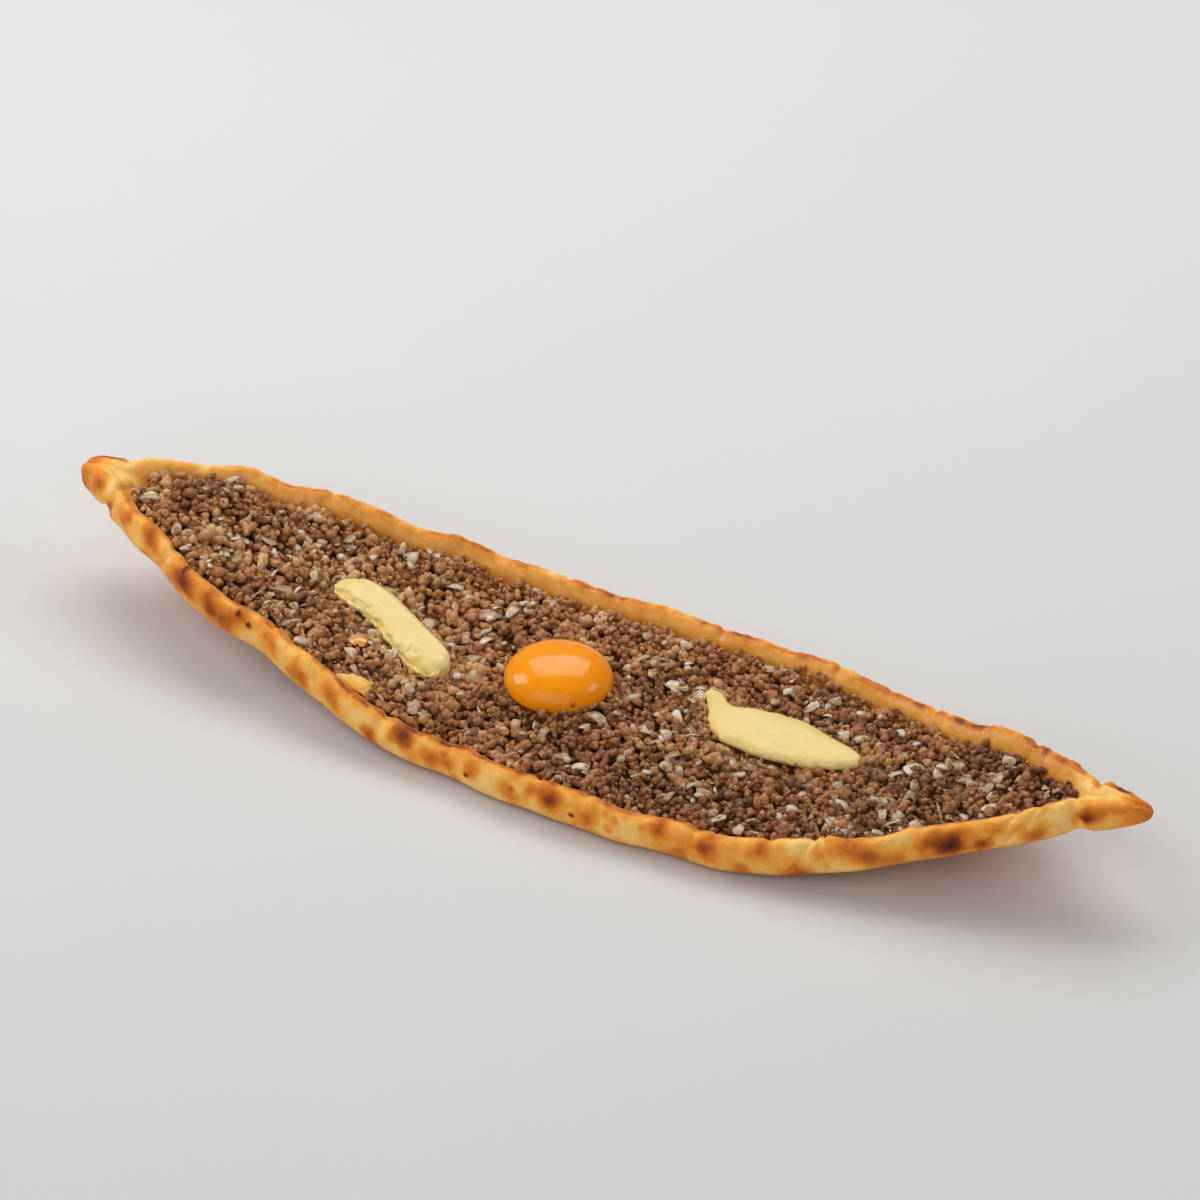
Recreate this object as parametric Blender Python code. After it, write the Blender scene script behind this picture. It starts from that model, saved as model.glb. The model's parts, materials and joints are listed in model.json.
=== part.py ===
"""A long boat-shaped flatbread with a minced filling, an egg yolk and two smears of butter.

Metres, Z up. X runs along the bread and Y across it. The origin is under the bread's middle, on the
surface that it lies on. Every ring of points around the bread comes from its plan, the lift of its
ends and the size of its rim, and the filling follows the same rings a small gap further in.
"""

import math

import bmesh
import bpy
from mathutils import Vector

# Bread, seen from above
WIDEST_AT = 0.035
HALF_WIDTH = 0.0632
# where the plan closes at each end, and the two powers that make that end blunt or slim
LEFT_PLAN = (-0.221, 2.3, 0.72)
RIGHT_PLAN = (0.220, 2.2, 1.15)
# pinched knobs of dough at the tips: middle, half-length and half-width
LEFT_KNOB = (-0.2138, 0.0130, 0.0068)
RIGHT_KNOB = (0.2068, 0.0200, 0.0072)

# Bread, seen from the side
# the underside is flat in the middle and bends up towards each tip: place, change of slope, half-length
LEFT_BENDS = ((0.048, 0.205, 0.025), (0.185, -0.160, 0.020))
RIGHT_BENDS = ((0.103, 0.300, 0.025), (0.203, -0.120, 0.015))
FLOOR = 0.0045
RIM_HEIGHT = 0.0142
LEFT_TIP_HEIGHT = 0.0145
RIGHT_TIP_HEIGHT = 0.0132
RIM_THICKNESS = 0.0098
# the rim's section, as shares of its thickness in from its outer edge, and how square it is rounded
CREST_INSET = 0.45
FOOT_INSET = 1.06
OUTER_SQUARENESS = 2.5
INNER_SQUARENESS = 2.3
# most of a narrow tip's half-width that the rim takes up, and how deep the seam is where rims meet
THICKEST_SHARE = 0.86
SEAM_DEPTH = 0.08

# The hollow opens between two half-widths of the bread, sooner on the blunter left
LEFT_OPENING = (0.0120, 0.0210)
RIGHT_OPENING = (0.0095, 0.0170)

# Uneven swelling of the rim: wavelength, size and phase of each wave
WIDTH_WAVES = ((0.083, 0.0009, 0.4), (0.047, 0.0006, 2.1), (0.029, 0.0004, 4.4))
HEIGHT_WAVES = ((0.097, 0.0007, 1.3), (0.041, 0.0006, 3.0), (0.027, 0.0003, 5.2))
# Pleats where the dough was folded: side, place, depth and half-length
PLEATS = (
    (-1, -0.108, 0.0022, 0.0280),
    (1, -0.108, 0.0016, 0.0280),
    (-1, 0.098, 0.0020, 0.0060),
    (-1, -0.120, 0.0012, 0.0070),
    (-1, 0.010, 0.0010, 0.0080),
    (1, -0.145, 0.0014, 0.0080),
    (1, 0.118, 0.0016, 0.0080),
)

# Filling, with the share of the rim's height that it reaches on each side
GAP = 0.0004
FILLING_DEPTH = 0.0110
BACK_FILL = 0.66
FRONT_FILL = 0.82
LEAST_FILLING = 0.0022
# uneven top: direction, wavelength and size of each wave, and a higher clump near the left tip
FILLING_WAVES = ((0.5, 0.036, 0.0007), (1.6, 0.023, 0.0006), (2.7, 0.0145, 0.0004))
LEFT_CLUMP = (-0.165, 0.0022, 0.028)

# Egg yolk: middle, radius, and how far it stands above and reaches below its widest circle
YOLK_AT = (-0.0142, -0.0012, 0.0148)
YOLK_RADIUS = 0.0200
YOLK_OVAL = 0.015
YOLK_ABOVE = 0.0105
YOLK_BELOW = 0.0080

# Butter: stations of each smear as place, half-width and thickness
LEFT_BUTTER = (
    (-0.1105, -0.0020, 0.0030, 0.0032),
    (-0.1045, -0.0015, 0.0072, 0.0052),
    (-0.0950, -0.0010, 0.0082, 0.0060),
    (-0.0840, -0.0050, 0.0080, 0.0062),
    (-0.0740, -0.0100, 0.0084, 0.0062),
    (-0.0650, -0.0145, 0.0090, 0.0064),
    (-0.0585, -0.0178, 0.0080, 0.0058),
    (-0.0548, -0.0200, 0.0042, 0.0036),
)
RIGHT_BUTTER = (
    (0.0353, 0.0229, 0.0020, 0.0034),
    (0.0408, 0.0199, 0.0036, 0.0048),
    (0.0468, 0.0139, 0.0060, 0.0060),
    (0.0538, 0.0089, 0.0102, 0.0068),
    (0.0638, 0.0079, 0.0126, 0.0072),
    (0.0758, 0.0087, 0.0128, 0.0072),
    (0.0898, 0.0079, 0.0098, 0.0066),
    (0.1008, 0.0089, 0.0056, 0.0054),
    (0.1058, 0.0095, 0.0022, 0.0036),
)
BUTTER_SUNK = 0.0018
BUTTER_TILT = 0.12
BUTTER_SQUARENESS = 0.75
BUTTER_SIDES = 12
BUTTER_STEPS = 2

# Fineness of the rings
STATIONS = 74
OUTER_STEPS = 8
INNER_STEPS = 4
TOP_STEPS = 6


def ease(t):
    t = min(max(t, 0.0), 1.0)
    return t * t * (3.0 - 2.0 * t)


def mix(a, b, t):
    return a + (b - a) * t


def waves(x, side, table):
    """Uneven swelling along the rim, with its own run on each side."""
    total = 0.0
    for length, size, phase in table:
        total += size * math.sin(2.0 * math.pi * x / length + phase * (2.0 + side))
    return total


def knob_round(x, knob):
    """1 at a knob's middle, falling to 0 at its ends."""
    middle, half_length, _ = knob
    t = (x - middle) / half_length
    return math.sqrt(max(1.0 - t * t, 0.0))


def half_width(x):
    """The bread's plan: a boat that is blunter on the left, with a knob at each tip."""
    end, power, fullness = LEFT_PLAN if x < WIDEST_AT else RIGHT_PLAN
    reach = min((x - WIDEST_AT) / (end - WIDEST_AT), 1.0)
    boat = HALF_WIDTH * (1.0 - reach ** power) ** fullness
    knob = LEFT_KNOB if x < WIDEST_AT else RIGHT_KNOB
    return (boat ** 4 + (knob[2] * knob_round(x, knob)) ** 4) ** 0.25


def rounded_slope(distance, slope, half_length):
    """Rise past a bend: nothing before it, a soft curve through it, a straight slope after it."""
    if distance <= -half_length:
        return 0.0
    if distance >= half_length:
        return slope * distance
    return slope * (distance + half_length) ** 2 / (4.0 * half_length)


def lift(x):
    """Height of the underside: flat under the middle, raised towards both tips."""
    bends = LEFT_BENDS if x < 0.0 else RIGHT_BENDS
    return sum(rounded_slope(abs(x) - place, slope, soft) for place, slope, soft in bends)


def openness(x):
    """0 where the bread is closed dough, 1 where it is a full tray."""
    closed, opened = LEFT_OPENING if x < 0.0 else RIGHT_OPENING
    return ease((half_width(x) - closed) / (opened - closed))


def rim(x, side):
    """Outer half-width, thickness and height of the rim on one side."""
    free = openness(x)
    outer = half_width(x) + free * waves(x, side, WIDTH_WAVES)
    for pleat_side, place, depth, half_length in PLEATS:
        if pleat_side == side:
            outer -= depth * math.exp(-(((x - place) / half_length) ** 2))
    thickness = min(RIM_THICKNESS, THICKEST_SHARE * outer)
    tip = LEFT_TIP_HEIGHT if x < 0.0 else RIGHT_TIP_HEIGHT
    height = mix(tip, RIM_HEIGHT, free) + free * waves(x, side, HEIGHT_WAVES)
    return outer, thickness, height


def tip_squeeze(x):
    """Share of its height that the dough keeps as a knob rounds off."""
    squeeze = 1.0
    if x < LEFT_KNOB[0]:
        squeeze = knob_round(x, LEFT_KNOB)
    if x > RIGHT_KNOB[0]:
        squeeze = knob_round(x, RIGHT_KNOB)
    return squeeze ** 0.8


def tray_floor(x, height):
    """Height of the hollow's floor above the underside: it rises to a seam at the tips."""
    return mix(height * (1.0 - SEAM_DEPTH), FLOOR, openness(x))


def inner_wall(x, side, share):
    """A point of the rim's inner face, from 0 at its foot to 1 at its crest."""
    outer, thickness, height = rim(x, side)
    floor = tray_floor(x, height)
    inset = CREST_INSET + (FOOT_INSET - CREST_INSET) * math.sqrt(1.0 - share ** INNER_SQUARENESS)
    return outer - thickness * inset, mix(floor, height, share)


def half_ring(x, side):
    """The bread's section on one side, from the middle of its underside to the middle of its floor."""
    outer, thickness, height = rim(x, side)
    edge = thickness * CREST_INSET
    points = [((outer - edge) * 0.5, 0.0)]
    for step in range(OUTER_STEPS + 1):
        share = 0.5 - 0.5 * math.cos(math.pi * step / OUTER_STEPS)
        bulge = math.sqrt(1.0 - abs(2.0 * share - 1.0) ** OUTER_SQUARENESS)
        points.append((outer - edge * (1.0 - bulge), share * height))
    for step in range(1, INNER_STEPS + 1):
        points.append(inner_wall(x, side, math.cos(0.5 * math.pi * step / INNER_STEPS)))
    foot, floor = points[-1]
    points.append((foot * 0.5, floor))
    return points


def place_ring(x, back, front, underside, top):
    """Turn two half sections into one closed ring of points in space."""
    base = lift(x)
    squeeze = tip_squeeze(x)
    waist = 0.5 * RIM_HEIGHT
    flat = [(0.0, underside)] + back + [(0.0, top)] + [(-y, z) for y, z in reversed(front)]
    return [Vector((x, y, base + waist + (z - waist) * squeeze)) for y, z in flat]


def stations():
    """Places along the bread, closer together towards the tips."""
    first = LEFT_KNOB[0] - LEFT_KNOB[1]
    last = RIGHT_KNOB[0] + RIGHT_KNOB[1]
    places = []
    for step in range(1, STATIONS):
        even = step / STATIONS
        eased = 0.5 - 0.5 * math.cos(math.pi * even)
        places.append(mix(first, last, mix(even, eased, 0.6)))
    return first, places, last


def loft(name, rings, material, first=None, last=None):
    """Skin closed rings of points into one closed body, ended by a point or by a flat cap."""
    mesh = bmesh.new()
    loops = [[mesh.verts.new(point) for point in ring] for ring in rings]
    count = len(loops[0])
    for near, far in zip(loops, loops[1:]):
        for i in range(count):
            j = (i + 1) % count
            mesh.faces.new((near[i], near[j], far[j], far[i]))
    for loop, point in ((loops[0], first), (loops[-1], last)):
        if point is None:
            point = sum((vert.co for vert in loop), Vector()) / count
        pole = mesh.verts.new(point)
        for i in range(count):
            mesh.faces.new((loop[i], loop[(i + 1) % count], pole))
    bmesh.ops.recalc_face_normals(mesh, faces=mesh.faces)
    data = bpy.data.meshes.new(name)
    mesh.to_mesh(data)
    mesh.free()
    data.shade_smooth()
    data.set_sharp_from_angle(angle=math.radians(50.0))
    piece = bpy.data.objects.new(name, data)
    bpy.context.scene.collection.objects.link(piece)
    if material:
        data.materials.append(material)
    return piece


def finish(name, colour, roughness, coat=0.0):
    """A plain material for one sub-part."""
    material = bpy.data.materials.new(name)
    material.use_nodes = True
    shader = material.node_tree.nodes["Principled BSDF"]
    shader.inputs["Base Color"].default_value = (*colour, 1.0)
    shader.inputs["Roughness"].default_value = roughness
    shader.inputs["Metallic"].default_value = 0.0
    shader.inputs["Coat Weight"].default_value = coat
    material.diffuse_color = (*colour, 1.0)
    return material


def make_crust(material):
    """Base, raised rim and pinched tips: one piece of baked dough."""
    first, places, last = stations()
    rings = []
    for x in places:
        height = 0.5 * (rim(x, 1)[2] + rim(x, -1)[2])
        rings.append(place_ring(x, half_ring(x, 1), half_ring(x, -1), 0.0, tray_floor(x, height)))
    waist = 0.5 * RIM_HEIGHT
    start = Vector((first, 0.0, lift(first) + waist))
    end = Vector((last, 0.0, lift(last) + waist))
    return loft("crust", rings, material, start, end)


def filling_top(x, y, back_edge, front_edge):
    """Height of the filling above the underside: level with its edges, uneven in between."""
    (back_y, back_z), (front_y, front_z) = back_edge, front_edge
    across = (y + front_y) / (back_y + front_y)
    crown = 1.0 - abs(2.0 * across - 1.0) ** 3
    level = mix(front_z, back_z, across)
    uneven = 0.0
    for angle, length, size in FILLING_WAVES:
        run = x * math.cos(angle) + y * math.sin(angle)
        over = y * math.cos(angle) - x * math.sin(angle)
        uneven += size * math.sin(2.0 * math.pi * run / length) * math.cos(2.2 * math.pi * over / length)
    place, extra, half_length = LEFT_CLUMP
    uneven += extra * math.exp(-(((x - place) / half_length) ** 2))
    return mix(level, FILLING_DEPTH + uneven, crown)


def filling_half(x, side):
    """Foot, wall and top edge of the filling on one side, a gap inside the rim."""
    share_at_edge = BACK_FILL if side > 0 else FRONT_FILL
    wall = []
    for share in (0.0, 0.5 * share_at_edge, share_at_edge):
        y, z = inner_wall(x, side, share)
        wall.append((y - GAP, z))
    wall[0] = (wall[0][0] - GAP, wall[0][1] + GAP)
    return wall


def make_filling(material):
    """The heap of mince as one solid out to its uneven top."""
    rings = []
    for x in stations()[1]:
        height = 0.5 * (rim(x, 1)[2] + rim(x, -1)[2])
        floor = tray_floor(x, height)
        if FILLING_DEPTH - floor < LEAST_FILLING:
            continue
        back, front = filling_half(x, 1), filling_half(x, -1)
        across = []
        for step in range(1, 2 * TOP_STEPS):
            y = mix(back[-1][0], -front[-1][0], step / (2 * TOP_STEPS))
            across.append((y, filling_top(x, y, back[-1], front[-1])))
        middle_top = across[TOP_STEPS - 1]
        back_ring = back + across[: TOP_STEPS - 1]
        front_ring = front + [(-y, z) for y, z in reversed(across[TOP_STEPS:])]
        ring = place_ring(x, back_ring, front_ring, floor + GAP, middle_top[1])
        ring[len(back_ring) + 1].y = middle_top[0]
        rings.append(ring)
    return loft("mince_filling", rings, material)


def make_yolk(name, material, extra=0.0):
    """A soft ball, flatter below than above; extra grows it on every side."""
    mesh = bmesh.new()
    bmesh.ops.create_uvsphere(mesh, u_segments=28, v_segments=14, radius=1.0)
    for vert in mesh.verts:
        z = vert.co.z
        reach = (YOLK_ABOVE if z > 0.0 else YOLK_BELOW) + extra
        around = math.atan2(vert.co.y, vert.co.x)
        radius = YOLK_RADIUS * (1.0 + YOLK_OVAL * math.sin(2.0 * around + 0.6)) + extra
        vert.co = Vector((vert.co.x * radius, vert.co.y * radius, z * reach))
    data = bpy.data.meshes.new(name)
    mesh.to_mesh(data)
    mesh.free()
    data.shade_smooth()
    piece = bpy.data.objects.new(name, data)
    piece.location = YOLK_AT
    bpy.context.scene.collection.objects.link(piece)
    if material:
        data.materials.append(material)
    return piece


def between(table, place):
    """A smooth value along a table of stations, at a place counted in stations."""
    i = min(int(place), len(table) - 2)
    t = place - i
    before = table[max(i - 1, 0)]
    after = table[min(i + 2, len(table) - 1)]
    values = []
    for a, b, c, d in zip(before, table[i], table[i + 1], after):
        bend = 2.0 * a - 5.0 * b + 4.0 * c - d
        turn = 3.0 * b - 3.0 * c + d - a
        values.append(b + 0.5 * ((c - a) * t + bend * t * t + turn * t * t * t))
    return values


def direction(table, place):
    """Which way a smear runs at a place counted in stations."""
    ahead = between(table, min(place + 0.05, len(table) - 1))
    behind = between(table, max(place - 0.05, 0))
    return Vector((ahead[0] - behind[0], ahead[1] - behind[1], 0.0)).normalized()


def butter_ring(centre, along, width, half_thickness):
    """A soft slab's section across a smear, a little higher on its far side."""
    aside = Vector((-along.y, along.x, 0.0))
    ring = []
    for i in range(BUTTER_SIDES):
        angle = 2.0 * math.pi * i / BUTTER_SIDES
        over = math.copysign(abs(math.cos(angle)) ** BUTTER_SQUARENESS, math.cos(angle))
        up = math.copysign(abs(math.sin(angle)) ** BUTTER_SQUARENESS, math.sin(angle))
        rise = half_thickness * up * (1.0 + BUTTER_TILT * over * (up > 0.0))
        ring.append(centre + aside * width * over + Vector((0.0, 0.0, rise)))
    return ring


def make_butter(name, table, material, extra=0.0):
    """A knife's smear swept along its stations; extra grows it on every side."""
    rings = []
    total = (len(table) - 1) * BUTTER_STEPS
    for step in range(total + 1):
        place = step / BUTTER_STEPS
        x, y, width, thickness = between(table, place)
        along = direction(table, place)
        centre = Vector((x, y, lift(x) + FILLING_DEPTH - BUTTER_SUNK + 0.5 * thickness))
        if step == 0:
            centre -= along * extra
        if step == total:
            centre += along * extra
        rings.append(butter_ring(centre, along, width + extra, 0.5 * thickness + extra))
    return loft(name, rings, material)


def cut_away(piece, cutter):
    """Cut a neighbour's room out of a piece."""
    cutter.hide_render = True
    cutter.display_type = "WIRE"
    boolean = piece.modifiers.new("room for " + cutter.name, "BOOLEAN")
    boolean.operation = "DIFFERENCE"
    boolean.solver = "EXACT"
    boolean.object = cutter


def build():
    for thing in list(bpy.data.objects):
        bpy.data.objects.remove(thing, do_unlink=True)
    dough = finish("baked_dough", (0.62, 0.34, 0.13), 0.62)
    meat = finish("minced_meat", (0.145, 0.075, 0.045), 0.48)
    yolk = finish("egg_yolk", (0.80, 0.26, 0.01), 0.18, 0.4)
    butter = finish("butter", (0.82, 0.66, 0.24), 0.38)
    make_crust(dough)
    filling = make_filling(meat)
    make_yolk("egg_yolk", yolk)
    make_butter("butter_left", LEFT_BUTTER, butter)
    make_butter("butter_right", RIGHT_BUTTER, butter)
    cut_away(filling, make_yolk("yolk_room", None, GAP))
    cut_away(filling, make_butter("left_butter_room", LEFT_BUTTER, None, GAP))
    cut_away(filling, make_butter("right_butter_room", RIGHT_BUTTER, None, GAP))


build()
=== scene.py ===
"""A long boat-shaped flatbread with minced filling, onion, an egg yolk and two smears of butter."""
import json
import math
import random

import bpy
import numpy as np
from mathutils import Matrix, Vector, noise
from mathutils.bvhtree import BVHTree

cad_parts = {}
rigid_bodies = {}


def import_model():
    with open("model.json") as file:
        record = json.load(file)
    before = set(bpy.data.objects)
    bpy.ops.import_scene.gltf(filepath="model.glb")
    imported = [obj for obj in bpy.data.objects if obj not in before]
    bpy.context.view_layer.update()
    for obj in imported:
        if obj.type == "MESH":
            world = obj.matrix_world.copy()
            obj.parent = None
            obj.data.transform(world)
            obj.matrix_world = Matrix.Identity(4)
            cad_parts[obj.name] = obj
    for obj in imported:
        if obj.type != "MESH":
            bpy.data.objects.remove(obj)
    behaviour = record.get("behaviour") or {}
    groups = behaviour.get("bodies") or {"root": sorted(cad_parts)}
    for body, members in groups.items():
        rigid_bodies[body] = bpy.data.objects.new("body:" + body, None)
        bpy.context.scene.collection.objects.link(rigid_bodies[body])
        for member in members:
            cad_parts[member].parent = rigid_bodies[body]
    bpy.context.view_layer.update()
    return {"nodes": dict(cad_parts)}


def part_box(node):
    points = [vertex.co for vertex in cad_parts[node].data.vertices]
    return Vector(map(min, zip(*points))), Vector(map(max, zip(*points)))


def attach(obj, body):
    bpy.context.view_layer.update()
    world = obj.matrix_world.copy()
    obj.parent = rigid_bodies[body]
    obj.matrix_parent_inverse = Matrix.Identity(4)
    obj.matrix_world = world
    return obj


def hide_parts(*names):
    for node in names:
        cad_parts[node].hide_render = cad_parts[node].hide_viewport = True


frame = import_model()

MM = 0.001

# Camera and lights, in metres, degrees and watts
CAMERA_TURN = 30.0
CAMERA_HEIGHT = 36.0
CAMERA_DISTANCE = 2.0
CAMERA_LENS = 162.0
AIM_ASIDE = 0.0024
AIM_UP = 0.0446
WORLD_LIGHT = 0.20

# Filling
CRUMB_SMALLEST = 1.50 * MM
CRUMB_SPREAD = 1.60 * MM
CRUMB_TRIES = 40000
CRUMB_MOST = 7000
CORE_DROP = 4.7 * MM
HEAP_TOP = -0.8 * MM
TINY_BITS = 800
ONION_DICE = 200
ONION_PETALS = 140
ONION_SLIVERS = 60

# The bigger clump at the left end: place along, place across, in metres
END_CLUMP = (-0.180, 0.006)
# Melted fat that pales the filling, and hollows in its heap: place along, place across, radius
PALE_PATCHES = ((154, 6, 8.0), (-147, -12, 4.0), (40, 24, 8.0), (-45, -8, 9.0), (118, -28, 7.0))
PITS = ((-10, -43, 5.0), (-2, -46, 3.5), (96, 8, 4.0), (22, -36, 3.5), (-120, 16, 3.5), (62, -34, 3.0))

# Butter: curled lips (place along, place across, radius, rise), and dents in its outline, where the last is the push
LEFT_CURLS = ((-56, -16, 3.0, 0.9), (-70, -16, 4.0, 0.6))
RIGHT_CURLS = ((66, 22.5, 2.2, 2.0), (56, 17, 4.0, 0.7))
LEFT_DENTS = (
    (-103, -1, 5.0, 1.2), (-111, -5, 2.2, 0.9), (-91, -18, 2.6, 1.4), (-82, -22, 2.4, 1.2), (-72, -27, 2.6, 1.2),
)
RIGHT_DENTS = ((51, 22, 5.0, 3.6), (42, 2, 4.0, 1.0), (62, -6, 4.0, 1.2), (80, -9, 4.0, 0.8))

# Toasted spots on the bread: side, place along, share of the rim's height, radius, strength
TOASTED = (
    (-1, 163, 0.50, 5.2, 1.00), (-1, 173, 0.38, 3.6, 0.60), (-1, 155, 0.66, 4.0, 0.45),
    (-1, 146, 0.30, 4.0, 0.40), (-1, 138, 0.55, 4.0, 0.55), (-1, 128, 0.90, 4.0, 0.42),
    (-1, 113, 0.12, 4.5, 0.60), (-1, 94, 0.18, 4.0, 0.48), (-1, 80, 0.72, 4.0, 0.58),
    (-1, 61, 0.90, 4.0, 0.50), (-1, 70, 0.25, 3.5, 0.42), (-1, 34, 0.60, 4.0, 0.45), (-1, 18, 0.72, 4.0, 0.70),
    (-1, 2, 0.40, 4.0, 0.42), (-1, -16, 0.75, 4.0, 0.45), (-1, -34, 0.60, 4.5, 0.50), (-1, -46, 0.90, 4.0, 0.72),
    (-1, -62, 0.40, 4.0, 0.45), (-1, -80, 0.70, 5.0, 0.60), (-1, -95, 0.50, 4.5, 0.55), (-1, -112, 0.80, 4.0, 0.40),
    (-1, -134, 0.55, 5.5, 0.60), (-1, -142, 0.88, 4.0, 0.42), (-1, -155, 0.75, 5.5, 0.82),
    (-1, -176, 0.80, 4.5, 0.58), (-1, -190, 0.85, 3.0, 0.38), (-1, -205, 0.50, 2.8, 0.50),
    (-1, 100, 0.85, 3.5, 0.50), (-1, 190, 0.35, 4.0, 0.50), (-1, 204, 0.60, 3.2, 0.75),
    (1, 211, 0.95, 4.5, 0.85), (1, -216, 0.92, 6.0, 0.62), (1, -60, 0.70, 6.0, 0.50),
    (-1, -214, 0.85, 5.0, 0.32), (1, 20, 0.60, 6.0, 0.50), (1, 90, 0.65, 8.0, 0.60), (1, 190, 0.75, 6.0, 0.60),
    (1, 150, 0.60, 7.0, 0.60),
)
# Pin-sized blisters: side, place along, share of the rim's height
PIN_BLISTERS = ((-1, -156, 0.97), (-1, -128, 0.90), (-1, -123, 0.77), (-1, -18, 0.53), (-1, 27, 0.53), (1, 60, 0.8))
# Stretches of crest that the oven caught: side, middle, half-length, strength
CAUGHT = (
    (-1, -73, 15, 1.10), (-1, -36, 20, 1.15), (-1, 4, 22, 1.15), (-1, 45, 16, 0.85), (-1, 80, 12, 0.50),
    (-1, 150, 20, 0.35), (-1, -118, 16, 0.65), (-1, -165, 14, 0.35), (1, -26, 12, 1.05), (1, 22, 20, 0.75),
    (1, 62, 14, 0.95), (1, 100, 16, 0.80), (1, 135, 20, 1.10), (1, 175, 16, 1.05), (1, -85, 18, 0.65),
    (1, -150, 20, 0.60),
)
# Creases in the dough: side, place along, lean, depth, half-width
CREASES = (
    (-1, 113, 7.0, 1.3, 1.3), (-1, 121, -4.0, 1.2, 1.2), (-1, 97, 9.0, 0.9, 1.5), (-1, 176, 12.0, 0.6, 1.2),
    (-1, 183, 12.0, 0.6, 1.0), (-1, 201, -5.0, 1.7, 1.3), (1, 204, -5.0, 1.5, 1.3), (-1, -60, 8.0, 0.9, 1.7),
    (-1, -112, -6.0, 1.1, 1.6), (-1, -168, 6.0, 0.9, 1.5), (-1, 40, -7.0, 0.7, 1.6), (1, -140, 6.0, 1.0, 1.8),
    (1, -40, -6.0, 0.9, 1.6), (1, 70, 7.0, 1.0, 1.8), (1, 120, -5.0, 1.2, 1.8), (1, 165, 6.0, 0.9, 1.5),
    (-1, -203, 5.0, 1.5, 1.6), (-1, 8, 6.0, 0.7, 1.6), (-1, 72, 6.0, 0.8, 1.5), (1, 20, 6.0, 0.8, 1.6),
)


# ---- tools ----

def only(piece):
    """Select one piece and nothing else."""
    for thing in bpy.context.view_layer.objects:
        thing.select_set(False)
    piece.select_set(True)
    bpy.context.view_layer.objects.active = piece


def finish_with(piece, kind, **settings):
    """Add one modifier and apply it."""
    only(piece)
    modifier = piece.modifiers.new(kind.title(), kind)
    for name, value in settings.items():
        setattr(modifier, name, value)
    bpy.ops.object.modifier_apply(modifier=modifier.name)


def smooth_step(t):
    t = np.clip(t, 0.0, 1.0)
    return t * t * (3.0 - 2.0 * t)


def hill(distance, width):
    return np.exp(-((distance / width) ** 2))


def points(piece):
    array = np.empty(len(piece.data.vertices) * 3)
    piece.data.vertices.foreach_get("co", array)
    return array.reshape(-1, 3)


def move_points(piece, array):
    piece.data.vertices.foreach_set("co", np.ascontiguousarray(array, dtype=np.float64).ravel())
    piece.data.update()


def faces_of(piece):
    return np.array([tuple(face.vertices) for face in piece.data.polygons])


def outward(piece):
    """The normal at each point."""
    array = np.empty(len(piece.data.vertices) * 3)
    piece.data.vertices.foreach_get("normal", array)
    return array.reshape(-1, 3)


def mark(piece, name, values):
    """Keep one number per point on the piece, for its material."""
    layer = piece.data.attributes.new(name, "FLOAT", "POINT")
    layer.data.foreach_set("value", np.ascontiguousarray(values, dtype=np.float32))


def cloud(places, size, shift=0.0):
    """Soft noise from -1 to 1 at each place, with lumps of about this size."""
    offset = Vector((shift, 1.7 * shift, -shift))
    return np.array([noise.noise(Vector(p) / size + offset) for p in places])


def copy_of(node, name):
    """A merged copy of a CAD node to shape further; the node itself is left alone."""
    data = frame["nodes"][node].data.copy()
    data.materials.clear()
    piece = bpy.data.objects.new(name, data)
    bpy.context.scene.collection.objects.link(piece)
    only(piece)
    if data.has_custom_normals:
        bpy.ops.mesh.customdata_custom_splitnormals_clear()
    bpy.ops.object.mode_set(mode="EDIT")
    bpy.ops.mesh.select_all(action="SELECT")
    bpy.ops.mesh.remove_doubles(threshold=0.00002)
    bpy.ops.mesh.tris_convert_to_quads(face_threshold=math.radians(60), shape_threshold=math.radians(120))
    bpy.ops.mesh.normals_make_consistent(inside=False)
    bpy.ops.object.mode_set(mode="OBJECT")
    return piece


def soften(piece):
    piece.data.shade_smooth()


def keep(piece, material, slot, *nodes):
    """Dress a finished piece, let it ride, and hide the CAD nodes it stands in for."""
    piece.data.materials.clear()
    piece.data.materials.append(material)
    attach(piece, "root")
    if nodes:
        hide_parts(*nodes)
    return piece


# ---- the bread's measures, read from the frame ----

def read_rim():
    """Underside, crest and outer edge of the bread at each of its stations."""
    crust = points(frame["nodes"]["crust"])
    places = np.unique(np.round(crust[:, 0], 5))
    rows = []
    for x in places:
        ring = crust[np.abs(crust[:, 0] - x) < 0.00002]
        row = [x, ring[:, 2].min()]
        for side in (1, -1):
            half = ring[ring[:, 1] * side >= -0.00001]
            top = half[half[:, 2].argmax()]
            row += [top[2], abs(top[1]), np.abs(half[:, 1]).max()]
        rows.append(row)
    return np.array(rows)


RIM = read_rim()


def rim_at(x, y):
    """Underside height, crest height, crest place and outer edge of the rim beside each point."""
    base = np.interp(x, RIM[:, 0], RIM[:, 1])
    back = [np.interp(x, RIM[:, 0], RIM[:, i]) for i in (2, 3, 4)]
    front = [np.interp(x, RIM[:, 0], RIM[:, i]) for i in (5, 6, 7)]
    behind = y > 0.0
    crest, crest_y, outer = (np.where(behind, b, f) for b, f in zip(back, front))
    return base, crest, crest_y, outer


# ---- bread ----

def pinch(where, place, half_length, share):
    """Narrow a tip round its own middle line, as fingers press it."""
    x = where[:, 0]
    squeeze = 1.0 - share * hill(x - place, half_length)
    near = np.abs(x - place) < 3.0 * half_length
    middle_z = np.interp(x, RIM[:, 0], 0.5 * (RIM[:, 1] + RIM[:, 2]))
    where[near, 1] *= squeeze[near]
    where[near, 2] = middle_z[near] + (where[near, 2] - middle_z[near]) * squeeze[near]


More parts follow.
